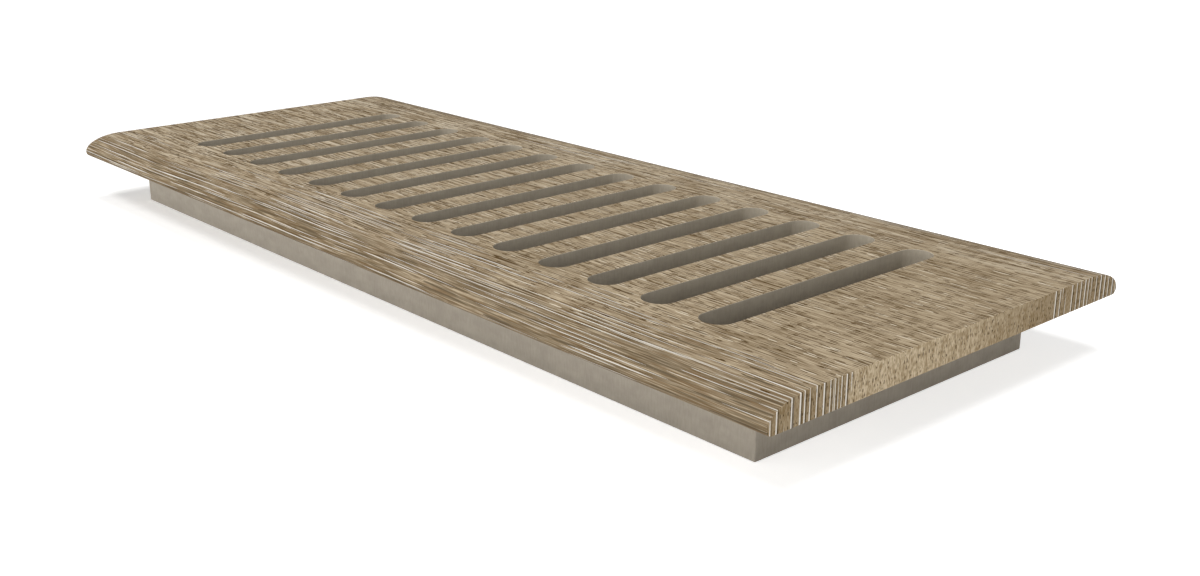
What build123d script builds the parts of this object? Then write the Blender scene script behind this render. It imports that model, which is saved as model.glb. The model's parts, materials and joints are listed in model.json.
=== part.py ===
"""Drop-in floor register: a slotted, profiled top plate on a smaller board that drops into a duct opening.

The plate's lip lies on the floor round the opening, and air comes up through the row of slots.
All sizes are in millimetres. The origin is at the centre of the base board's underside.
+X runs along the register's length, +Y across it and +Z up out of the floor.
"""

import os

from build123d import *

# Base board, which drops into the duct opening
base_length = 290.7
base_width = 100.0
base_thickness = 15.5

# Top plate, which lies on the floor round the opening
plate_thickness = 7.0
end_lip = 15.9
side_lip = 15.1

# Rounded long edges of the plate: a long elliptical nose over a small round heel
nose_reach = 12.9
heel_radius = 1.6

# Air slots, routed through plate and base in one pass
slot_width = 9.1
bar_width = 9.55
side_rail = 9.15
least_end_rail = 18.0

# Sizes that follow from the ones above
plate_length = base_length + 2 * end_lip
plate_width = base_width + 2 * side_lip
nose_drop = plate_thickness - heel_radius
slot_length = base_width - 2 * side_rail
slot_pitch = slot_width + bar_width
slot_count = int((base_length - 2 * least_end_rail + bar_width) / slot_pitch)

# Heights of the faces
seat_height = base_thickness
top_height = seat_height + plate_thickness

# Base board: one plain rectangular board with the row of slots cut through it
with BuildPart() as drop_in_base:
    with BuildSketch():
        Rectangle(base_length, base_width)
        with GridLocations(slot_pitch, 0, slot_count, 1):
            SlotOverall(slot_length, slot_width, rotation=90, mode=Mode.SUBTRACT)
    extrude(amount=seat_height)

# Top plate: the edge profile run along the whole length, cut square at both ends, then slotted
with BuildPart() as top_plate:
    with BuildSketch(Plane.YZ.offset(-plate_length / 2)):
        with BuildLine():
            side = plate_width / 2
            widest_height = seat_height + heel_radius
            Line((0, seat_height), (side - heel_radius, seat_height))
            CenterArc((side - heel_radius, widest_height), heel_radius, -90, 90)
            EllipticalCenterArc((side - nose_reach, widest_height), nose_reach, nose_drop)
            Line((side - nose_reach, top_height), (0, top_height))
            mirror(about=Plane.YZ)
        make_face()
    extrude(amount=plate_length)
    with BuildSketch(Plane.XY.offset(seat_height)):
        with GridLocations(slot_pitch, 0, slot_count, 1):
            SlotOverall(slot_length, slot_width, rotation=90)
    extrude(amount=plate_thickness, mode=Mode.SUBTRACT)

drop_in_base.part.label = "drop_in_base"
top_plate.part.label = "top_plate"

os.makedirs("parts", exist_ok=True)
export_step(drop_in_base.part, "parts/drop_in_base.step")
export_step(top_plate.part, "parts/top_plate.step")
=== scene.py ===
"""Looks of a drop-in floor register: a limed wood-grain plate with air slots, on a taupe board base.

Every piece is made in metres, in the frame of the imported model, and takes its sizes from that frame.
+X runs along the register's length, +Y across it and +Z up out of the floor.
"""

import json
import logging
import math
from collections.abc import Sequence
from dataclasses import dataclass
from enum import Enum, IntEnum
from typing import Any, ClassVar, Union

import bmesh
import bpy
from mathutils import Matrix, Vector


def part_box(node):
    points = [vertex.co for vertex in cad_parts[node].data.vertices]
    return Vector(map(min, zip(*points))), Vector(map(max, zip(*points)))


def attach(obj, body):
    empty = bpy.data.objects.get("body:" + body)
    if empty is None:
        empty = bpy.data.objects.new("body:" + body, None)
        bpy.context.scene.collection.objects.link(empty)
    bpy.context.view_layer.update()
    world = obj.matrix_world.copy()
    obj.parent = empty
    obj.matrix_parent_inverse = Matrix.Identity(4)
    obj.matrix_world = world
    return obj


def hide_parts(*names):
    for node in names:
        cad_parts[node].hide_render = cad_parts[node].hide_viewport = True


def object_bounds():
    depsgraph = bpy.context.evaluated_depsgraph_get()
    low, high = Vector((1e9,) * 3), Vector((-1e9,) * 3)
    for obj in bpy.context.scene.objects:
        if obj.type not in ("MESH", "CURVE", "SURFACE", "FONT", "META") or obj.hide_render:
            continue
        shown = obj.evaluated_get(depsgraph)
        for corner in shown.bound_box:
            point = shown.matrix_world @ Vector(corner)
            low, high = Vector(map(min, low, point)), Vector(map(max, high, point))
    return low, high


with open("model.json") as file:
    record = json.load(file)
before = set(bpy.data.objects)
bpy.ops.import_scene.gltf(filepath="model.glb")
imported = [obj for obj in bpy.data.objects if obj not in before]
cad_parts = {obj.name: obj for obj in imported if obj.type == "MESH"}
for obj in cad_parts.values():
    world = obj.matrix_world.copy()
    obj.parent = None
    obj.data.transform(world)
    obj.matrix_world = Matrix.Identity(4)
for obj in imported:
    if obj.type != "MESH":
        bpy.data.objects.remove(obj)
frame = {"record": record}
CAD_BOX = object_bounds()

LOG = logging.getLogger("floor_register")
BODY = "root"
GRAIN_MAP = "grain"
MM = 0.001

Spot = tuple[float, float]
Range = tuple[float, float]
Point = tuple[float, float, float]
Tint = tuple[float, float, float]
Socket = bpy.types.NodeSocket
Feed = Union[Socket, float, Tint]


class Side(IntEnum):
    """The side of a board that a face is on."""

    FACE = 0
    END = 1
    SLOT_WALL = 2
    UNDER = 3
    GLUED = 4


class Sum(Enum):
    """The sums that a Math node does here."""

    ADD = "ADD"
    TAKE = "SUBTRACT"
    TIMES = "MULTIPLY"
    OVER = "DIVIDE"
    MOST = "MAXIMUM"
    LEAST = "MINIMUM"
    BELOW = "LESS_THAN"
    SIZE = "ABSOLUTE"


class Wiring:
    """Adds nodes to one node tree and joins their sockets."""

    # A Mix node has its sockets for colours at these places.
    MIX_UNDER = 6
    MIX_OVER = 7
    MIX_RESULT = 2

    def __init__(self, tree: bpy.types.NodeTree) -> None:
        """Keeps the tree that the nodes go into."""
        self.tree = tree

    def node(self, kind: str, **settings: Any) -> bpy.types.Node:
        """Adds a node.

        Args:
            kind: Blender's name for the type of node.
            settings: the node's own properties.

        Returns:
            The new node.
        """
        node = self.tree.nodes.new(kind)
        for name, value in settings.items():
            setattr(node, name, value)
        return node

    def feed(self, socket: Socket, value: Feed) -> None:
        """Joins an input to another socket, or sets its own value.

        Args:
            socket: the input.
            value: the socket, number or colour that it takes.
        """
        if isinstance(value, bpy.types.NodeSocket):
            self.tree.links.new(value, socket)
        elif socket.type == "RGBA":
            socket.default_value = (*value, 1.0)
        else:
            socket.default_value = value

    def sum(self, kind: Sum, first: Feed, second: Feed = 0.0) -> Socket:
        """Adds a Math node.

        Args:
            kind: what it does.
            first: its first number.
            second: its second number, if it has one.

        Returns:
            The result's socket.
        """
        node = self.node("ShaderNodeMath", operation=kind.value)
        self.feed(node.inputs[0], first)
        self.feed(node.inputs[1], second)
        return node.outputs[0]

    def span(self, value: Feed, low: Feed, high: Feed, to_low: Feed = 0.0, to_high: Feed = 1.0) -> Socket:
        """Turns a range of numbers smoothly into another range, and holds it there.

        Args:
            value: the number to turn.
            low: the number that becomes to_low.
            high: the number that becomes to_high.
            to_low: the result at the low end.
            to_high: the result at the high end.

        Returns:
            The result's socket.
        """
        node = self.node("ShaderNodeMapRange", interpolation_type="SMOOTHSTEP")
        for place, number in enumerate((value, low, high, to_low, to_high)):
            self.feed(node.inputs[place], number)
        return node.outputs[0]

    def point(self, x: Feed, y: Feed, z: Feed) -> Socket:
        """Adds a vector made of three numbers.

        Args:
            x: its first number.
            y: its second number.
            z: its third number.

        Returns:
            The vector's socket.
        """
        node = self.node("ShaderNodeCombineXYZ")
        for place, number in enumerate((x, y, z)):
            self.feed(node.inputs[place], number)
        return node.outputs[0]

    def split(self, vector: Socket) -> Sequence[Socket]:
        """Takes a vector apart.

        Args:
            vector: the vector's socket.

        Returns:
            The sockets of its three numbers.
        """
        node = self.node("ShaderNodeSeparateXYZ")
        self.feed(node.inputs[0], vector)
        return node.outputs

    def noise(self, at: Socket, detail: float, roughness: float = 0.5) -> Socket:
        """Adds smooth noise with features about one unit long.

        Args:
            at: where it is read.
            detail: how many finer layers it has.
            roughness: how strong the finer layers are.

        Returns:
            The socket of its value, from 0 to 1.
        """
        node = self.node("ShaderNodeTexNoise", noise_dimensions="3D")
        self.feed(node.inputs["Vector"], at)
        node.inputs["Scale"].default_value = 1.0
        node.inputs["Detail"].default_value = detail
        node.inputs["Roughness"].default_value = roughness
        return node.outputs[0]

    def blend(self, share: Feed, under: Feed, over: Feed) -> Socket:
        """Mixes two colours.

        Args:
            share: how much of the upper colour shows.
            under: the colour underneath.
            over: the colour on top.

        Returns:
            The socket of the mixed colour.
        """
        node = self.node("ShaderNodeMix", data_type="RGBA")
        self.feed(node.inputs[0], share)
        self.feed(node.inputs[self.MIX_UNDER], under)
        self.feed(node.inputs[self.MIX_OVER], over)
        return node.outputs[self.MIX_RESULT]

    def place(self, group: bpy.types.NodeTree, **feeds: Feed) -> bpy.types.Node:
        """Places a node group.

        Args:
            group: the group's tree.
            feeds: what its inputs take, by name in small letters.

        Returns:
            The group's node.
        """
        node = self.node("ShaderNodeGroup", node_tree=group)
        for name, value in feeds.items():
            self.feed(node.inputs[name.capitalize()], value)
        return node


class GroupWiring(Wiring):
    """Wires the inside of a new node group, whose sockets are all plain numbers."""

    def __init__(self, name: str, takes: dict[str, float], gives: Sequence[str]) -> None:
        """Makes the group with its sockets.

        Args:
            name: the group's name.
            takes: its inputs and their usual values.
            gives: its outputs.
        """
        super().__init__(bpy.data.node_groups.new(name, "ShaderNodeTree"))
        for port, usual in takes.items():
            socket = self.tree.interface.new_socket(port, in_out="INPUT", socket_type="NodeSocketFloat")
            socket.default_value = usual
        for port in gives:
            self.tree.interface.new_socket(port, in_out="OUTPUT", socket_type="NodeSocketFloat")
        self.taken = self.node("NodeGroupInput").outputs
        self.given = self.node("NodeGroupOutput").inputs


class GrainKit:
    """The shader node groups that the finishes share. Their lengths are in millimetres."""

    BEND_LENGTH = 90.0
    BEND_WIDTH = 25.0
    BEND_REACH = 2.4
    STREAK_SPAN: Range = (0.28, 0.72)
    CLOUD_SPAN: Range = (0.25, 0.75)
    SHORTEST_TICK = 0.4
    THINNEST_TICK = 0.5
    TICK_EDGE: Range = (0.6, 1.4)
    LEAST_HALF = 1e-4

    def __init__(self, half_length: float) -> None:
        """Builds every group once.

        Args:
            half_length: half the plate's length in metres, where the grain folds down over the ends.
        """
        self.half_length = half_length / MM
        self.axes = self._axes()
        self.streaks = self._streaks()
        self.ticks = self._ticks()
        self.cloud = self._cloud()

    def _axes(self) -> bpy.types.NodeTree:
        """Builds the group that says where on the board a point is.

        Returns:
            The group, which gives how far a point is along the board, across it and across its bent grain.
        """
        wiring = GroupWiring("grain_axes", {}, ("Along", "Across", "Bent"))
        grain_map = wiring.node("ShaderNodeUVMap", uv_map=GRAIN_MAP)
        mapped = wiring.split(grain_map.outputs[0])
        along, across = (wiring.sum(Sum.TIMES, part, 1.0 / MM) for part in mapped[:2])
        on_face = wiring.sum(Sum.MOST, wiring.sum(Sum.LEAST, along, self.half_length), -self.half_length)
        slow_along = wiring.sum(Sum.OVER, on_face, self.BEND_LENGTH)
        slow_across = wiring.sum(Sum.OVER, across, self.BEND_WIDTH)
        bend = wiring.noise(wiring.point(slow_along, slow_across, 0.0), detail=1.0)
        bent = wiring.sum(Sum.ADD, across, wiring.sum(Sum.TIMES, bend, self.BEND_REACH))
        for port, value in {"Along": along, "Across": across, "Bent": bent}.items():
            wiring.feed(wiring.given[port], value)
        return wiring.tree

    def _streaks(self) -> bpy.types.NodeTree:
        """Builds the group of soft streaks along the grain.

        Returns:
            The group, which gives a tone from 0 to 1.
        """
        takes = {"Along": 0.0, "Across": 0.0, "Length": 20.0, "Width": 1.0, "Seed": 0.0}
        wiring = GroupWiring("grain_streaks", takes, ("Tone",))
        along = wiring.sum(Sum.OVER, wiring.taken["Along"], wiring.taken["Length"])
        across = wiring.sum(Sum.OVER, wiring.taken["Across"], wiring.taken["Width"])
        place = wiring.point(along, across, wiring.taken["Seed"])
        value = wiring.noise(place, detail=2.0, roughness=0.55)
        wiring.feed(wiring.given["Tone"], wiring.span(value, *self.STREAK_SPAN))
        return wiring.tree

    def _ticks(self) -> bpy.types.NodeTree:
        """Builds the group of thin ticks along the grain, one to a cell.

        Returns:
            The group, which gives the mask of the ticks and the mask of a line beside each tick, where a
            layer lays painted shade beside pale ticks and a painted highlight beside dark ones.
        """
        takes = {
            "Along": 0.0,
            "Across": 0.0,
            "Length": 6.0,
            "Width": 1.0,
            "Reach": 0.4,
            "Thickness": 0.2,
            "Share": 0.5,
            "Shift": 0.0,
            "Scatter": 1.0,
            "Seed": 0.0,
        }
        wiring = GroupWiring("grain_ticks", takes, ("Tick", "Painted_shading"))
        taken = wiring.taken
        along = wiring.sum(Sum.ADD, wiring.sum(Sum.OVER, taken["Along"], taken["Length"]), taken["Seed"])
        across = wiring.sum(Sum.OVER, taken["Across"], taken["Width"])
        cells = wiring.node("ShaderNodeTexVoronoi", voronoi_dimensions="2D", feature="F1")
        wiring.feed(cells.inputs["Vector"], wiring.point(along, across, 0.0))
        wiring.feed(cells.inputs["Scale"], 1.0)
        wiring.feed(cells.inputs["Randomness"], taken["Scatter"])
        middle = wiring.split(cells.outputs["Position"])
        chance = wiring.node("ShaderNodeSeparateColor")
        wiring.feed(chance.inputs[0], cells.outputs["Color"])
        show_chance, length_chance, thickness_chance = chance.outputs
        shown = wiring.sum(Sum.BELOW, show_chance, taken["Share"])
        length_share = wiring.span(length_chance, 0.0, 1.0, self.SHORTEST_TICK, 1.0)
        reach = wiring.sum(Sum.TIMES, taken["Reach"], length_share)
        past = wiring.sum(Sum.OVER, wiring.sum(Sum.TAKE, along, middle[0]), reach)
        squared = wiring.sum(Sum.TIMES, past, past)
        taper = wiring.sum(Sum.TAKE, 1.0, wiring.sum(Sum.TIMES, squared, squared))
        thickness_share = wiring.span(thickness_chance, 0.0, 1.0, self.THINNEST_TICK, 1.0)
        thickness = wiring.sum(Sum.TIMES, taken["Thickness"], thickness_share)
        half = wiring.sum(Sum.MOST, wiring.sum(Sum.TIMES, thickness, taper), self.LEAST_HALF)
        inner, outer = (wiring.sum(Sum.TIMES, half, part) for part in self.TICK_EDGE)
        off = wiring.sum(Sum.TAKE, across, middle[1])
        for port, place in (("Tick", off), ("Painted_shading", wiring.sum(Sum.TAKE, off, taken["Shift"]))):
            line = wiring.span(wiring.sum(Sum.SIZE, place), inner, outer, 1.0, 0.0)
            wiring.feed(wiring.given[port], wiring.sum(Sum.TIMES, line, shown))
        return wiring.tree

    def _cloud(self) -> bpy.types.NodeTree:
        """Builds the group of soft clouds in board and paint.

        Returns:
            The group, which gives a tone from 0 to 1.
        """
        wiring = GroupWiring("board_cloud", {"Size": 8.0, "Stretch": 1.0, "Seed": 0.0}, ("Tone",))
        where = wiring.split(wiring.node("ShaderNodeTexCoord").outputs["Object"])
        per_size = wiring.sum(Sum.OVER, 1.0 / MM, wiring.taken["Size"])
        along, across, upright = (wiring.sum(Sum.TIMES, part, per_size) for part in where)
        stretched = wiring.sum(Sum.OVER, upright, wiring.taken["Stretch"])
        shifted = wiring.sum(Sum.ADD, stretched, wiring.taken["Seed"])
        value = wiring.noise(wiring.point(along, across, shifted), detail=3.0, roughness=0.6)
        wiring.feed(wiring.given["Tone"], wiring.span(value, *self.CLOUD_SPAN))
        return wiring.tree


class Coat(Wiring):
    """Wires a new material with one Principled shader."""

    def __init__(self, name: str) -> None:
        """Makes the material with its shader.

        Args:
            name: the material's name.
        """
        self.material = bpy.data.materials.new(name)
        self.material.use_nodes = True
        super().__init__(self.material.node_tree)
        self.tree.nodes.clear()
        self.shader = self.node("ShaderNodeBsdfPrincipled")
        output = self.node("ShaderNodeOutputMaterial")
        self.feed(output.inputs["Surface"], self.shader.outputs[0])

    def set(self, name: str, value: Feed) -> None:
        """Feeds one of the shader's inputs."""
        self.feed(self.shader.inputs[name], value)

    def raise_by(self, height: Socket, distance: float, strength: float) -> None:
        """Adds relief.

        Args:
            height: the socket of its height, from 0 to 1.
            distance: how high it stands, in metres.
            strength: how much of it shows.
        """
        bump = self.node("ShaderNodeBump")
        bump.inputs["Strength"].default_value = strength
        bump.inputs["Distance"].default_value = distance
        self.feed(bump.inputs["Height"], height)
        self.set("Normal", bump.outputs[0])


@dataclass(frozen=True)
class Streaks:
    """A layer of soft streaks along the grain, with lengths in millimetres."""

    length: float
    width: float
    seed: float
    share: float = 1.0


@dataclass(frozen=True)
class Ticks:
    """A layer of thin ticks along the grain, one to a cell, with the cell's lengths in millimetres.

    A tick's half length and half thickness, and the shift of the line beside it, are shares of its cell. The
    line beside a tick is painted shade where its tint is dark and a painted highlight where it is pale.
    """

    length: float
    width: float
    reach: float
    thickness: float
    share: float
    strength: float
    seed: float
    shift: float = 0.0
    painted_shading_strength: float = 0.0
    scatter: float = 1.0


class GrainCoat(Coat):
    """Wires a wood finish in layers, from the ground up."""

    TONE_SPAN: Range = (0.1, 0.9)

    def __init__(self, name: str, kit: GrainKit) -> None:
        """Starts the material at its grain's axes.

        Args:
            name: the material's name.
            kit: the shared node groups.
        """
        super().__init__(name)
        self.kit = kit
        axes = self.place(kit.axes).outputs
        self.along, self.across, self.bent = axes["Along"], axes["Across"], axes["Bent"]
        self.colour: Feed = (0.0, 0.0, 0.0)

    def tone(self, streaks: Streaks) -> Socket:
        """Places one layer of streaks.

        Args:
            streaks: the layer.

        Returns:
            The socket of its tone, from 0 to 1.
        """
        layer = self.place(
            self.kit.streaks,
            along=self.along,
            across=self.bent,
            length=streaks.length,
            width=streaks.width,
            seed=streaks.seed,
        )
        return layer.outputs["Tone"]

    def ground(self, layers: Sequence[Streaks], deep: Tint, pale: Tint) -> None:
        """Lays the ground.

        Args:
            layers: the layers of streaks, whose shares add up to 1.
            deep: its darkest colour.
            pale: its palest colour.
        """
        tone: Feed = 0.0
        for layer in layers:
            tone = self.sum(Sum.ADD, tone, self.sum(Sum.TIMES, self.tone(layer), layer.share))
        self.colour = self.blend(self.span(tone, *self.TONE_SPAN), deep, pale)

    def lay(self, mask: Feed, tint: Tint) -> None:
        """Lays a colour over what is there, where the mask shows it."""
        self.colour = self.blend(mask, self.colour, tint)

    def tick(self, ticks: Ticks, tint: Tint, beside: Tint, zone: Feed = 1.0, swell: Feed = 1.0) -> Socket:
        """Lays one layer of ticks.

        Args:
            ticks: the layer.
            tint: the ticks' colour.
            beside: the colour of the painted shade or painted highlight along each tick, by whether it is
                dark or pale.
            zone: how much of the layer shows, from 0 to 1.
            swell: how many times as thick as usual the ticks are.

        Returns:
            The socket of the ticks' mask.
        """
        masks = self.place(
            self.kit.ticks,
            along=self.along,
            across=self.bent,
            length=ticks.length,
            width=ticks.width,
            reach=ticks.reach,
            thickness=self.sum(Sum.TIMES, swell, ticks.thickness),
            share=self.sum(Sum.TIMES, zone, ticks.share),
            shift=ticks.shift,
            scatter=ticks.scatter,
            seed=ticks.seed,
        ).outputs
        # The line along each tick is painted shade or a painted highlight, by its tint, as if the tick were
        # sunk in relief.
        if ticks.painted_shading_strength > 0.0:
            self.lay(self.sum(Sum.TIMES, masks["Painted_shading"], ticks.painted_shading_strength), beside)
        self.lay(self.sum(Sum.TIMES, masks["Tick"], ticks.strength), tint)
        return masks["Tick"]


@dataclass(frozen=True)
class FaceZones:
    """The sockets that say how much of each zone of the plate's face a point is in, from 0 to 1."""

    nose: Socket
    off_nose: Socket
    limed: Socket
    calm: Socket
    towards_far: Socket
    banded: Socket


@dataclass(frozen=True)
class LimedFace:
    """The plate's face: tan oak grain with dark pores, limed in long white lines beside the long edges.

    The zones' limits are in millimetres across the plate, or slantwise along it for the far end.
    """

    name: str = "limed_face"
    pale_tan: Tint = (0.492, 0.402, 0.278)
    deep_tan: Tint = (0.178, 0.126, 0.068)
    brown: Tint = (0.14, 0.096, 0.051)
    umber: Tint = (0.1, 0.074, 0.044)
    rust: Tint = (0.145, 0.09, 0.043)
    pore: Tint = (0.055, 0.026, 0.003)
    pale: Tint = (0.65, 0.57, 0.44)
    lime: Tint = (0.68, 0.66, 0.61)
    roughness: float = 0.7
    pore_roughness: float = 0.85
    specular: float = 0.03
    pore_depth: float = 0.06 * MM
    relief: float = 0.4
    fibres: Streaks = Streaks(length=7.0, width=0.3, seed=1.0, share=0.6)
    coarse_fibres: Streaks = Streaks(length=20.0, width=1.1, seed=7.3, share=0.25)
    clouds: Streaks = Streaks(length=50.0, width=12.0, seed=2.1, share=0.15)
    brown_bands: Streaks = Streaks(length=24.0, width=1.2, seed=5.8, share=0.5)
    pale_bands: Streaks = Streaks(length=20.0, width=1.1, seed=8.8, share=0.56)
    far_bands: Streaks = Streaks(length=22.0, width=1.6, seed=3.7, share=0.32)
    # Umber over both noses: brown grain streaks, and painted shade that darkens the rounded noses.
    nose_streaks_and_shade: Streaks = Streaks(length=18.0, width=0.25, seed=4.1, share=0.8)
    flames: Streaks = Streaks(length=15.0, width=0.45, seed=3.0)
    ragged_edge: Streaks = Streaks(length=70.0, width=400.0, seed=6.5)
    pores: Ticks = Ticks(
        length=4.0, width=0.7, reach=0.46, thickness=0.21, share=0.45, strength=1.0, seed=1.3, scatter=0.8
    )
    brown_pores: Ticks = Ticks(
        length=17.0, width=1.3, reach=0.47, thickness=0.13, share=0.55, strength=0.8, seed=4.7,
        shift=-0.25, painted_shading_strength=0.3, scatter=0.85,
    )
    bold_pores: Ticks = Ticks(
        length=20.0, width=2.6, reach=0.46, thickness=0.14, share=0.7, strength=0.75, seed=9.4
    )
    pale_ticks: Ticks = Ticks(
        length=6.0, width=1.5, reach=0.46, thickness=0.14, share=0.26, strength=0.8, seed=8.1,
        shift=0.28, painted_shading_strength=0.6,
    )
    dark_lines: Ticks = Ticks(
        length=24.0, width=1.5, reach=0.47, thickness=0.19, share=0.65, strength=0.85, seed=2.9, scatter=0.8
    )
    fine_lines: Ticks = Ticks(
        length=35.0, width=1.15, reach=0.48, thickness=0.11, share=0.62, strength=0.72, seed=5.2,
        shift=-0.25, painted_shading_strength=0.5,
    )
    limed_lines: Ticks = Ticks(
        length=60.0, width=1.85, reach=0.49, thickness=0.088, share=0.8, strength=0.87, seed=3.5,
        shift=0.22, painted_shading_strength=0.7, scatter=0.6,
    )
    near_nose: Range = (-61.0, -54.0)
    far_nose: Range = (54.0, 61.0)
    near_lines: Range = (-45.0, -36.0)
    far_lines: Range = (46.0, 66.0)
    far_side: Range = (38.0, 46.0)
    far_end: Range = (-150.0, 190.0)
    far_slant: float = 0.7
    ragged_reach: float = 9.0
    band_span: Range = (0.45, 0.85)
    dark_span: Range = (0.55, 0.15)
    flame_span: Range = (0.5, 0.85)
    flame_shares: Range = (0.3, 0.65)
    least_nose_streak_and_shade: float = 0.2
    pores_in_lines: float = 0.5
    darks_in_lines: float = 0.5
    far_swell: float = 1.05
    far_thinning: float = 0.55
    nose_swell: float = 0.62

    def material(self, kit: GrainKit) -> bpy.types.Material:
        """Wires the finish.

        Args:
            kit: the shared node groups.

        Returns:
            The material.
        """
        coat = GrainCoat(self.name, kit)
        zones = self._zones(coat)
        coat.ground((self.fibres, self.coarse_fibres, self.clouds), self.deep_tan, self.pale_tan)
        self._lay_bands(coat, zones)
        pores = self._lay_pores(coat, zones)
        self._lay_lines(coat, zones)
        coat.set("Base Color", coat.colour)
        coat.set("Roughness", coat.span(pores, 0.0, 1.0, self.roughness, self.pore_roughness))
        coat.set("Specular IOR Level", self.specular)
        coat.raise_by(coat.sum(Sum.TAKE, 1.0, pores), self.pore_depth, self.relief)
        return coat.material

    def _zones(self, coat: GrainCoat) -> FaceZones:
        """Wires the zones.

        Args:
            coat: the material.

        Returns:
            The zones' sockets.
        """
        near_nose = coat.span(coat.across, *self.near_nose, 1.0, 0.0)
        nose = coat.sum(Sum.MOST, near_nose, coat.span(coat.across, *self.far_nose))
        off_nose = coat.sum(Sum.TAKE, 1.0, nose)
        ragged = coat.sum(Sum.TIMES, coat.tone(self.ragged_edge), self.ragged_reach)
        near_lines = coat.span(coat.sum(Sum.ADD, coat.across, ragged), *self.near_lines, 1.0, 0.0)
        limed = coat.sum(Sum.MOST, near_lines, coat.span(coat.across, *self.far_lines))
        calm = coat.sum(Sum.TIMES, coat.span(limed, 0.0, 1.0, 1.0, self.pores_in_lines), off_nose)
        slanted = coat.sum(Sum.TAKE, coat.along, coat.sum(Sum.TIMES, coat.across, self.far_slant))
        towards_far = coat.span(slanted, *self.far_end, 1.0, 0.0)
        banded = coat.sum(Sum.TIMES, towards_far, off_nose)
        return FaceZones(nose, off_nose, limed, calm, towards_far, banded)

    def _lay_bands(self, coat: GrainCoat, zones: FaceZones) -> None:
        """Lays the dark streaks of the noses, which are partly grain and partly painted shade that darkens
        the rounded noses, then the bands towards the far end and side, and the rusty flames.

        Args:
            coat: the material.
            zones: where they show.
        """
        # Umber over the noses: grain streaks, and painted shade that darkens the rounded noses.
        nose_tone = coat.tone(self.nose_streaks_and_shade)
        streaked_shade = coat.span(nose_tone, *coat.TONE_SPAN, self.least_nose_streak_and_shade, self.nose_streaks_and_shade.share)
        coat.lay(coat.sum(Sum.TIMES, zones.nose, streaked_shade), self.umber)
        for bands, tint in ((self.brown_bands, self.brown), (self.pale_bands, self.pale)):
            band = coat.span(coat.tone(bands), *self.band_span, 0.0, bands.share)
            coat.lay(coat.sum(Sum.TIMES, band, zones.banded), tint)
        far_side = coat.sum(Sum.TIMES, coat.span(coat.across, *self.far_side), zones.off_nose)
        far_tone = coat.tone(self.far_bands)
        for limits, tint in ((self.band_span, self.pale), (self.dark_span, self.brown)):
            band = coat.span(far_tone, *limits, 0.0, self.far_bands.share)
            coat.lay(coat.sum(Sum.TIMES, band, far_side), tint)
        flames = coat.span(coat.tone(self.flames), *self.flame_span)
        flame_share = coat.span(zones.limed, 0.0, 1.0, *self.flame_shares)
        coat.lay(coat.sum(Sum.TIMES, flames, flame_share), self.rust)

    def _lay_pores(self, coat: GrainCoat, zones: FaceZones) -> Socket:
        """Lays the pores and the pale ticks among them.

        Args:
            coat: the material.
            zones: where they show.

        Returns:
            The socket of the finest pores' mask.
        """
        bold_zone = coat.sum(Sum.TIMES, zones.calm, zones.towards_far)
        coat.tick(self.brown_pores, self.pore, self.pale, zones.calm)
        coat.tick(self.bold_pores, self.pore, self.pale, bold_zone)
        coat.tick(self.pale_ticks, self.pale, self.pore, zones.calm)
        return coat.tick(self.pores, self.pore, self.pale, zones.calm)

    def _lay_lines(self, coat: GrainCoat, zones: FaceZones) -> None:
        """Lays the dark lines and the white limed lines by the long edges.

        Args:
            coat: the material.
            zones: where they show.
        """
        # The dark lines show at full share on the noses: partly grain, partly painted shade there.
        darkened = coat.sum(Sum.MOST, zones.nose, coat.sum(Sum.TIMES, zones.limed, self.darks_in_lines))
        coat.tick(self.dark_lines, self.umber, self.pale, darkened)
        far_thick = coat.span(zones.towards_far, 0.0, 1.0, 1.0, self.far_swell)
        swell = coat.sum(Sum.TIMES, far_thick, coat.span(zones.nose, 0.0, 1.0, 1.0, self.nose_swell))
        thinned = coat.sum(Sum.TAKE, 1.0, coat.sum(Sum.TIMES, zones.banded, self.far_thinning))
        for lines in (self.fine_lines, self.limed_lines):
            coat.tick(lines, self.lime, self.pore, coat.sum(Sum.TIMES, zones.limed, thinned), swell)


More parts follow.
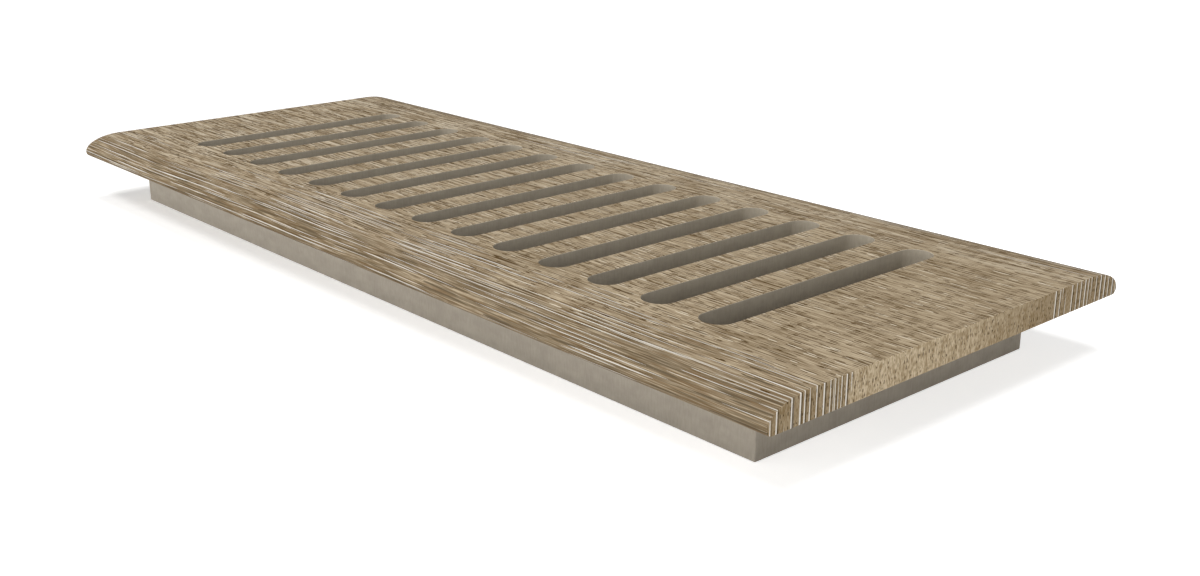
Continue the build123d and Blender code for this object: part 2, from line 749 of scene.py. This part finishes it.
@dataclass(frozen=True)
class LimedEndWithPaintedLight:
    """The plate's cut ends: mottled grain in the middle, limed in stripes towards both long edges. Its tints
    are paler than the face's, partly as the end grain's own tone and partly as painted light that makes up
    for the dimmer light on the upright ends.

    The zones' limits are in millimetres across the plate.
    """

    name: str = "limed_end_with_painted_light"
    # Paler tints than the face's: partly end grain, partly painted light for the dimmer upright ends.
    pale_tan: Tint = (0.63, 0.515, 0.355)
    deep_tan: Tint = (0.325, 0.238, 0.134)
    brown: Tint = (0.17, 0.11, 0.045)
    pore: Tint = (0.045, 0.026, 0.01)
    pale: Tint = (0.7, 0.63, 0.515)
    lime: Tint = (0.85, 0.815, 0.75)
    roughness: float = 0.7
    specular: float = 0.03
    pore_depth: float = 0.08 * MM
    relief: float = 0.4
    fine: Streaks = Streaks(length=1.2, width=0.45, seed=1.0, share=0.65)
    middle: Streaks = Streaks(length=5.0, width=1.5, seed=7.3, share=0.35)
    pores: Ticks = Ticks(
        length=1.3, width=0.75, reach=0.42, thickness=0.2, share=0.38, strength=0.8, seed=1.3
    )
    fine_lines: Ticks = Ticks(
        length=35.0, width=1.15, reach=0.48, thickness=0.11, share=0.5, strength=0.75, seed=5.2,
        shift=-0.25, painted_shading_strength=0.7,
    )
    limed_lines: Ticks = Ticks(
        length=60.0, width=1.85, reach=0.49, thickness=0.107, share=0.93, strength=0.9, seed=3.5,
        shift=0.26, painted_shading_strength=0.75, scatter=0.6,
    )
    near_brown: Range = (-44.0, -38.0)
    far_brown: Range = (-18.0, 42.0)
    brown_share: float = 0.55
    near_lines: Range = (-44.0, -37.0)
    far_lines: Range = (34.0, 38.0)

    def material(self, kit: GrainKit) -> bpy.types.Material:
        """Wires the finish.

        Args:
            kit: the shared node groups.

        Returns:
            The material.
        """
        coat = GrainCoat(self.name, kit)
        coat.ground((self.fine, self.middle), self.deep_tan, self.pale_tan)
        near_brown = coat.span(coat.across, *self.near_brown, self.brown_share, 0.0)
        far_brown = coat.span(coat.across, *self.far_brown, 0.0, self.brown_share)
        coat.lay(coat.sum(Sum.MOST, near_brown, far_brown), self.brown)
        pores = coat.tick(self.pores, self.pore, self.pale)
        near_lines = coat.span(coat.across, *self.near_lines, 1.0, 0.0)
        limed = coat.sum(Sum.MOST, near_lines, coat.span(coat.across, *self.far_lines))
        for lines in (self.fine_lines, self.limed_lines):
            coat.tick(lines, self.lime, self.pore, limed)
        coat.set("Base Color", coat.colour)
        coat.set("Roughness", self.roughness)
        coat.set("Specular IOR Level", self.specular)
        coat.raise_by(coat.sum(Sum.TAKE, 1.0, pores), self.pore_depth, self.relief)
        return coat.material


@dataclass(frozen=True)
class TaupeBoard:
    """Dull taupe board or paint with soft clouds and grit. cloud_size and grit_size are in millimetres."""

    name: str
    pale: Tint
    deep: Tint
    cloud_size: float
    cloud_stretch: float = 0.5
    grit_size: float = 0.5
    grit_stretch: float = 6.0
    grit_share: float = 0.5
    grit_height: float = 0.02 * MM
    relief: float = 0.5
    dull_roughness: float = 0.75
    smooth_roughness: float = 0.65
    specular: float = 0.3

    def material(self, kit: GrainKit) -> bpy.types.Material:
        """Wires the finish.

        Args:
            kit: the shared node groups.

        Returns:
            The material.
        """
        coat = Coat(self.name)
        cloud = coat.place(kit.cloud, size=self.cloud_size, stretch=self.cloud_stretch, seed=1.0).outputs[0]
        grit = coat.place(kit.cloud, size=self.grit_size, stretch=self.grit_stretch, seed=2.0).outputs[0]
        cloud_part = coat.sum(Sum.TIMES, cloud, 1.0 - self.grit_share)
        tone = coat.sum(Sum.ADD, cloud_part, coat.sum(Sum.TIMES, grit, self.grit_share))
        coat.set("Base Color", coat.blend(tone, self.deep, self.pale))
        coat.set("Roughness", coat.span(cloud, 0.0, 1.0, self.dull_roughness, self.smooth_roughness))
        coat.set("Specular IOR Level", self.specular)
        coat.raise_by(grit, self.grit_height, self.relief)
        return coat.material


# The routed core has the paint's taupe but is tinted paler, as painted light that brightens the shaded slot
# walls.
ROUTED_CORE_WITH_PAINTED_LIGHT = TaupeBoard("routed_core_with_painted_light", (0.445, 0.394, 0.312), (0.352, 0.308, 0.241), cloud_size=6.0)
TAUPE_PAINT = TaupeBoard("taupe_paint", (0.412, 0.367, 0.304), (0.312, 0.277, 0.226), cloud_size=7.0)


class MeshBench:
    """Collects the faces of one piece and joins the corners that meet."""

    JOIN_WITHIN = 1e-6

    def __init__(self) -> None:
        """Starts an empty mesh."""
        self.mesh = bmesh.new()
        self.across = self.mesh.verts.layers.float.new("across")
        self._corners: dict[tuple[int, ...], bmesh.types.BMVert] = {}

    def corner(self, point: Point, across: float) -> bmesh.types.BMVert:
        """Gives the corner at a point, which is made if it isn't there.

        Args:
            point: where it is.
            across: how far across the grain it is, measured over the surface.

        Returns:
            The corner.
        """
        key = tuple(round(number / self.JOIN_WITHIN) for number in point)
        if key not in self._corners:
            self._corners[key] = self.mesh.verts.new(point)
            self._corners[key][self.across] = across
        return self._corners[key]

    def face(self, corners: Sequence[bmesh.types.BMVert], side: Side) -> None:
        """Adds a face.

        Args:
            corners: its corners in order.
            side: the side of the board that it is on.
        """
        face = self.mesh.faces.new(corners)
        face.material_index = side
        face.smooth = True


@dataclass(frozen=True)
class SlotRow:
    """The row of round-ended air slots that is cut through plate and base.

    Each slot has a cell of the board's mesh round it. The cell's border has one point for each point of
    the slot's rim.
    """

    centres: tuple[float, ...]
    width: float
    straight: float
    margin: float = 3.0 * MM
    arc_steps: int = 24
    corner_steps: int = 6

    WALL_GAP: ClassVar[float] = 0.3 * MM

    @classmethod
    def from_record(cls, record: dict[str, Any]) -> "SlotRow":
        """Reads the row from the stated openings, which stand clear of the slots' walls.

        Args:
            record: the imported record.

        Returns:
            The row.
        """
        boxes = [opening["box_m"] for opening in record["physics"]["openings"]]
        centres = tuple((low[0] + high[0]) / 2 for low, high in boxes)
        low, high = boxes[0]
        return cls(centres, high[0] - low[0] + 2 * cls.WALL_GAP, high[1] - low[1])

    @property
    def pitch(self) -> float:
        """The distance from one slot to the next."""
        return (self.centres[-1] - self.centres[0]) / (len(self.centres) - 1)

    @property
    def reach(self) -> float:
        """How far the cells round the slots reach across the board from its middle."""
        return (self.straight + self.width) / 2 + self.margin

    def rim(self, centre: float) -> list[Spot]:
        """The points round one slot's rim.

        Args:
            centre: the slot's middle along the length.

        Returns:
            The points, anticlockwise, from the start of the +Y end's arc.
        """
        radius, half = self.width / 2, self.straight / 2
        turns = [math.pi * step / self.arc_steps for step in range(self.arc_steps + 1)]
        arc = [(radius * math.cos(turn), half + radius * math.sin(turn)) for turn in turns]
        return [(centre + x, y) for x, y in arc] + [(centre - x, -y) for x, y in arc]

    def border(self, centre: float) -> list[Spot]:
        """The points round one slot's cell.

        Args:
            centre: the slot's middle along the length.

        Returns:
            The points in the rim's order.
        """
        wide, half = self.pitch / 2, self.straight / 2
        across_steps = self.arc_steps - 2 * self.corner_steps
        climb = [half + (self.reach - half) * step / self.corner_steps for step in range(self.corner_steps)]
        top = [(wide - 2 * wide * step / across_steps, self.reach) for step in range(across_steps + 1)]
        path = [(wide, y) for y in climb] + top + [(-wide, y) for y in reversed(climb)]
        return [(centre + x, y) for x, y in path] + [(centre - x, -y) for x, y in path]


@dataclass
class SlottedBoard:
    """A board with the row of slots cut through it, made as one closed mesh."""

    name: str
    node: str
    slot: str
    slots: SlotRow
    eased: float
    end_columns: int = 5
    ease_segments: int = 2
    sharp_angle: float = math.radians(30.0)

    EASED_PAIRS: ClassVar[tuple[set[Side], ...]] = ()
    TOP_SIDE: ClassVar[Side] = Side.FACE

    def __post_init__(self) -> None:
        """Takes the board's sizes from its node."""
        low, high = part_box(self.node)
        self.half_length = (high.x - low.x) / 2
        self.half_width = (high.y - low.y) / 2
        self.bottom, self.top = low.z, high.z

    def edge(self) -> list[Spot]:
        """The +Y edge's outline from the top to the underside, as (y, z) points."""
        return [(self.half_width, self.top), (self.half_width, self.bottom)]

    def build(self, finishes: dict[Side, bpy.types.Material]) -> bpy.types.Object:
        """Makes the board.

        Args:
            finishes: the material of each side.

        Returns:
            The finished piece, riding on its body.
        """
        bench = MeshBench()
        columns = self._columns()
        for height, side in ((self.top, self.TOP_SIDE), (self.bottom, Side.UNDER)):
            self._lay_sheet(bench, columns, height, side)
        self._cut_walls(bench)
        outline = self._wrap_edges(bench, columns)
        for end in (-self.half_length, self.half_length):
            bench.face([bench.corner((end, y, z), y) for y, z in outline], Side.END)
        bmesh.ops.recalc_face_normals(bench.mesh, faces=bench.mesh.faces)
        self._map_grain(bench)
        self._mark_eased(bench)
        return self._dress(bench, finishes)

    def _columns(self) -> list[float]:
        """Places the lines that the mesh has across the board.

        Returns:
            Their places along the length, in order.
        """
        first, last = self.slots.centres[0], self.slots.centres[-1]
        half = self.slots.pitch / 2
        ends = [step / self.end_columns for step in range(self.end_columns)]
        left = [-self.half_length + (first - half + self.half_length) * share for share in ends]
        right = [self.half_length - (self.half_length - last - half) * share for share in reversed(ends)]
        borders = [spot for centre in self.slots.centres for spot in self.slots.border(centre)]
        cells = [x for x, y in borders if y >= self.slots.reach]
        places = sorted(left + cells + right)
        kept = [places[0]]
        for place in places[1:]:
            if place - kept[-1] > MeshBench.JOIN_WITHIN:
                kept.append(place)
        return kept

    def _rows(self) -> list[float]:
        """Places the points on the side of a cell's border.

        Returns:
            Their places across the board, in order.
        """
        side = self.slots.pitch / 2 - MeshBench.JOIN_WITHIN
        return sorted(y for x, y in self.slots.border(0.0) if x >= side)

    def _lay_sheet(self, bench: MeshBench, columns: list[float], height: float, side: Side) -> None:
        """Adds the flat sheet round the slots.

        Args:
            bench: the mesh.
            columns: the places along the length of the lines across.
            height: the sheet's height.
            side: the side of the board that it is.
        """
        for centre in self.slots.centres:
            rim = [bench.corner((x, y, height), y) for x, y in self.slots.rim(centre)]
            border = [bench.corner((x, y, height), y) for x, y in self.slots.border(centre)]
            for here in range(len(rim)):
                after = (here + 1) % len(rim)
                bench.face((rim[here], border[here], border[after], rim[after]), side)
        past_cells = abs(self.slots.centres[0]) + self.slots.pitch / 2 + MeshBench.JOIN_WITHIN
        rows = self._rows()
        for left, right in zip(columns, columns[1:]):
            if left < -past_cells or right > past_cells:
                for low, high in zip(rows, rows[1:]):
                    spots = ((left, low), (right, low), (right, high), (left, high))
                    bench.face([bench.corner((x, y, height), y) for x, y in spots], side)

    def _cut_walls(self, bench: MeshBench) -> None:
        """Adds the walls of the slots.

        Args:
            bench: the mesh.
        """
        for centre in self.slots.centres:
            rim = self.slots.rim(centre)
            for here, after in zip(rim, rim[1:] + rim[:1]):
                points = ((*here, self.top), (*after, self.top), (*after, self.bottom), (*here, self.bottom))
                bench.face([bench.corner(point, point[1]) for point in points], Side.SLOT_WALL)

    def _wrap_edges(self, bench: MeshBench, columns: list[float]) -> list[Spot]:
        """Adds both long edges.

        Args:
            bench: the mesh.
            columns: the places along the length of the lines across.

        Returns:
            The outline of the board's section, as (y, z) points in order.
        """
        reach = self.slots.reach
        section = [(reach, self.top), *self.edge(), (reach, self.bottom)]
        over = [reach]
        for here, after in zip(section, section[1:]):
            over.append(over[-1] + math.dist(here, after))
        for sign in (1, -1):
            for place in range(len(section) - 1):
                side = self._strip_side(section[place], section[place + 1])
                for left, right in zip(columns, columns[1:]):
                    corners = []
                    for x, step in ((left, place), (right, place), (right, place + 1), (left, place + 1)):
                        y, z = section[step]
                        corners.append(bench.corner((x, sign * y, z), sign * over[step]))
                    bench.face(corners, side)
        rows = self._rows()
        top = [(y, self.top) for y in rows[1:-1]]
        under = [(y, self.bottom) for y in reversed(rows[1:-1])]
        far = [(-y, z) for y, z in reversed(section)]
        return top + section + under + far

    def _strip_side(self, here: Spot, after: Spot) -> Side:
        """Says which side of the board a strip of its edge is on.

        Args:
            here: the strip's first (y, z) point.
            after: its second one.

        Returns:
            The side.
        """
        if here[1] == after[1]:
            return self.TOP_SIDE if here[1] == self.top else Side.UNDER
        return Side.FACE

    def _map_grain(self, bench: MeshBench) -> None:
        """Maps the grain: along the length, across over the edges, and folded down over the ends.

        Args:
            bench: the mesh.
        """
        grain = bench.mesh.loops.layers.uv.new(GRAIN_MAP)
        for face in bench.mesh.faces:
            for loop in face.loops:
                x, y, z = loop.vert.co
                if face.material_index == Side.END:
                    loop[grain].uv = (math.copysign(self.half_length + self.top - z, x), y)
                else:
                    loop[grain].uv = (x, loop.vert[bench.across])

    def _mark_eased(self, bench: MeshBench) -> None:
        """Marks the edges that are eased.

        Args:
            bench: the mesh.
        """
        weight = bench.mesh.edges.layers.float.new("bevel_weight_edge")
        for edge in bench.mesh.edges:
            sides = {face.material_index for face in edge.link_faces}
            edge[weight] = 1.0 if sides in self.EASED_PAIRS else 0.0

    def _dress(self, bench: MeshBench, finishes: dict[Side, bpy.types.Material]) -> bpy.types.Object:
        """Turns the mesh into a piece with its materials and eased edges.

        Args:
            bench: the mesh.
            finishes: the material of each side.

        Returns:
            The piece.
        """
        coats = list(dict.fromkeys(finishes.values()))
        for face in bench.mesh.faces:
            face.material_index = coats.index(finishes[Side(face.material_index)])
        mesh = bpy.data.meshes.new(self.name)
        bench.mesh.to_mesh(mesh)
        bench.mesh.free()
        mesh.set_sharp_from_angle(angle=self.sharp_angle)
        for coat in coats:
            mesh.materials.append(coat)
        piece = bpy.data.objects.new(self.name, mesh)
        bpy.context.scene.collection.objects.link(piece)
        ease = piece.modifiers.new("eased_edges", "BEVEL")
        ease.limit_method = "WEIGHT"
        ease.width = self.eased
        ease.segments = self.ease_segments
        ease.harden_normals = True
        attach(piece, BODY)
        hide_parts(self.node)
        return piece


@dataclass
class TopPlate(SlottedBoard):
    """The plate that lies on the floor: a long elliptical nose over a small round heel on both long edges."""

    nose_reach: float = 12.9 * MM
    heel_radius: float = 1.6 * MM
    nose_steps: int = 24
    heel_steps: int = 8

    EASED_PAIRS = ({Side.FACE, Side.END}, {Side.FACE, Side.SLOT_WALL}, {Side.END, Side.UNDER})

    def edge(self) -> list[Spot]:
        """The +Y edge's outline.

        Returns:
            The (y, z) points from the top to the underside.
        """
        quarter = math.pi / 2
        widest = self.bottom + self.heel_radius
        drop = self.top - widest
        nose_start = self.half_width - self.nose_reach
        nose_turns = [quarter * (1 - step / self.nose_steps) for step in range(self.nose_steps + 1)]
        nose = [
            (nose_start + self.nose_reach * math.cos(turn), widest + drop * math.sin(turn))
            for turn in nose_turns
        ]
        heel_middle = self.half_width - self.heel_radius
        heel_turns = [quarter * step / self.heel_steps for step in range(1, self.heel_steps + 1)]
        heel = [
            (heel_middle + self.heel_radius * math.cos(turn), widest - self.heel_radius * math.sin(turn))
            for turn in heel_turns
        ]
        return nose + heel


@dataclass
class DropInBase(SlottedBoard):
    """The plain board that drops into the duct opening."""

    EASED_PAIRS = ({Side.FACE, Side.END}, {Side.FACE, Side.UNDER}, {Side.END, Side.UNDER})
    TOP_SIDE = Side.GLUED


@dataclass(frozen=True)
class Lamp:
    """A broad soft light that hangs round the register and points at it."""

    name: str
    azimuth: float
    elevation: float
    distance: float
    width: float
    height: float
    energy: float


@dataclass(frozen=True)
class Studio:
    """A pale floor with a painted glow, soft white light all round, five broad lamps, and the camera."""

    floor_size: float = 12.0
    floor_tint: Tint = (0.86, 0.86, 0.86)
    floor_roughness: float = 0.9
    left_glow: float = 0.35
    right_glow: float = 0.74
    outer_glow: float = 1.2
    beside_span: Range = (-0.2, 0.2)
    outer_span: Range = (0.25, 0.6)
    glow_fade: float = 2.0 * MM
    sky_tint: Tint = (1.0, 1.0, 1.0)
    sky_strength: float = 0.2
    seen_sky: float = 1.0
    lamps: tuple[Lamp, ...] = (
        Lamp("top_lamp", azimuth=0.0, elevation=88.0, distance=1.8, width=0.5, height=0.5, energy=13.3),
        Lamp("key_lamp", azimuth=25.0, elevation=61.0, distance=1.8, width=0.5, height=0.5, energy=12.6),
        Lamp("side_lamp", azimuth=-43.0, elevation=14.0, distance=1.0, width=1.1, height=0.5, energy=4.5),
        Lamp("slot_lamp", azimuth=5.0, elevation=16.0, distance=1.5, width=0.4, height=0.4, energy=4.5),
        Lamp("end_lamp", azimuth=90.0, elevation=14.0, distance=1.6, width=1.8, height=0.7, energy=5.9),
    )
    camera_target: Point = (0.08809, -0.04212, 0.0225)
    camera_distance: float = 0.32276
    camera_azimuth: float = 48.2662
    camera_elevation: float = 18.3191
    camera_lens: float = 40.972
    sensor_width: float = 36.0
    clip_share: float = 0.01

    def build(self) -> None:
        """Sets up the floor, the light and the camera."""
        self._lay_floor()
        self._light_sky()
        for lamp in self.lamps:
            self._hang(lamp)
        self._place_camera()
        bpy.context.scene.view_settings.view_transform = "Standard"

    @staticmethod
    def _back(azimuth: float, elevation: float) -> Vector:
        """The direction from the object to a place round it.

        Args:
            azimuth: the place's angle from -Y towards +X, in degrees.
            elevation: its angle above the floor, in degrees.

        Returns:
            The direction, of length 1.
        """
        turn, rise = math.radians(azimuth), math.radians(elevation)
        flat = math.cos(rise)
        return Vector((math.sin(turn) * flat, -math.cos(turn) * flat, math.sin(rise)))

    def _lay_floor(self) -> None:
        """Lays the pale floor at the height that the register stands on."""
        bench = bmesh.new()
        bmesh.ops.create_grid(bench, x_segments=1, y_segments=1, size=self.floor_size / 2)
        mesh = bpy.data.meshes.new("pale_floor")
        bench.to_mesh(mesh)
        bench.free()
        coat = Coat("pale_floor")
        coat.set("Base Color", self.floor_tint)
        coat.set("Roughness", self.floor_roughness)
        coat.set("Specular IOR Level", 0.0)
        coat.set("Emission Color", self.floor_tint)
        coat.set("Emission Strength", self._glow(coat))
        mesh.materials.append(coat.material)
        floor = bpy.data.objects.new("pale_floor", mesh)
        floor.location.z = CAD_BOX[0].z
        bpy.context.scene.collection.objects.link(floor)

    def _glow(self, coat: Coat) -> Socket:
        """Wires the floor's glow, painted light which whitens the floor round the register, weaker towards -X
        so that the floor's shadows show darker there, and stronger further out.

        Only the camera sees it, and there is none under the base, where the slots show the floor.

        Args:
            coat: the floor's material.

        Returns:
            The socket of its strength.
        """
        where = coat.node("ShaderNodeTexCoord").outputs["Object"]
        parts = coat.split(where)
        away = coat.node("ShaderNodeVectorMath", operation="LENGTH")
        coat.feed(away.inputs[0], where)
        # Painted light on the floor: weaker towards -X, stronger towards +X.
        beside = coat.span(parts[0], *self.beside_span, self.left_glow, self.right_glow)
        outside = coat.span(away.outputs["Value"], *self.outer_span, 0.0, self.outer_glow)
        clear: Feed = 0.0
        for part, reach in zip(parts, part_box("drop_in_base")[1].xy):
            past = coat.span(coat.sum(Sum.SIZE, part), reach - self.glow_fade, reach)
            clear = coat.sum(Sum.MOST, clear, past)
        seen = coat.sum(Sum.TIMES, clear, coat.node("ShaderNodeLightPath").outputs["Is Camera Ray"])
        return coat.sum(Sum.TIMES, seen, coat.sum(Sum.MOST, beside, outside))

    def _light_sky(self) -> None:
        """Lights the scene evenly from all round, with a sky that the camera sees as white."""
        world = bpy.data.worlds.new("studio_sky")
        world.use_nodes = True
        wiring = Wiring(world.node_tree)
        sky = world.node_tree.nodes["Background"]
        wiring.feed(sky.inputs["Color"], self.sky_tint)
        seen = wiring.node("ShaderNodeLightPath").outputs["Is Camera Ray"]
        wiring.feed(sky.inputs["Strength"], wiring.span(seen, 0.0, 1.0, self.sky_strength, self.seen_sky))
        bpy.context.scene.world = world

    def _hang(self, lamp: Lamp) -> None:
        """Hangs a lamp.

        Args:
            lamp: the lamp.
        """
        light = bpy.data.lights.new(lamp.name, "AREA")
        light.shape = "RECTANGLE"
        light.size, light.size_y = lamp.width, lamp.height
        light.energy = lamp.energy
        piece = bpy.data.objects.new(lamp.name, light)
        back = self._back(lamp.azimuth, lamp.elevation)
        self._aim(piece, back * lamp.distance, back)

    def _place_camera(self) -> None:
        """Places the camera where the register is seen from."""
        data = bpy.data.cameras.new("camera")
        data.lens = self.camera_lens
        data.sensor_width = self.sensor_width
        data.clip_start = self.camera_distance * self.clip_share
        data.clip_end = self.floor_size * 2
        camera = bpy.data.objects.new("camera", data)
        back = self._back(self.camera_azimuth, self.camera_elevation)
        self._aim(camera, Vector(self.camera_target) + back * self.camera_distance, back)
        bpy.context.scene.camera = camera

    @staticmethod
    def _aim(piece: bpy.types.Object, place: Vector, back: Vector) -> None:
        """Puts a lamp or camera in the scene, turned to look the other way from its back.

        Args:
            piece: the lamp or camera.
            place: where it is.
            back: the direction behind it.
        """
        piece.location = place
        piece.rotation_mode = "QUATERNION"
        piece.rotation_quaternion = (-back).to_track_quat("-Z", "Y")
        bpy.context.scene.collection.objects.link(piece)


def main() -> None:
    """Builds the register's pieces in order, reports each one, and sets up the studio round them."""
    logging.basicConfig(level=logging.INFO, format="%(name)s: %(message)s")
    kit = GrainKit(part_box("top_plate")[1].x)
    face, end = LimedFace().material(kit), LimedEndWithPaintedLight().material(kit)
    core, paint = ROUTED_CORE_WITH_PAINTED_LIGHT.material(kit), TAUPE_PAINT.material(kit)
    slots = SlotRow.from_record(frame["record"])
    plate = TopPlate("limed_plate", "top_plate", "limed_wood", slots, eased=0.18 * MM)
    plate_finishes = {Side.FACE: face, Side.END: end, Side.SLOT_WALL: core, Side.UNDER: core}
    base = DropInBase("taupe_base", "drop_in_base", "painted_board", slots, eased=0.3 * MM)
    base_finishes = {**dict.fromkeys(Side, paint), Side.SLOT_WALL: core, Side.GLUED: core}
    for board, finishes in ((plate, plate_finishes), (base, base_finishes)):
        piece = board.build(finishes)
        LOG.info("%s: %d faces before easing", piece.name, len(piece.data.polygons))
    Studio().build()


if __name__ == "__main__":
    main()
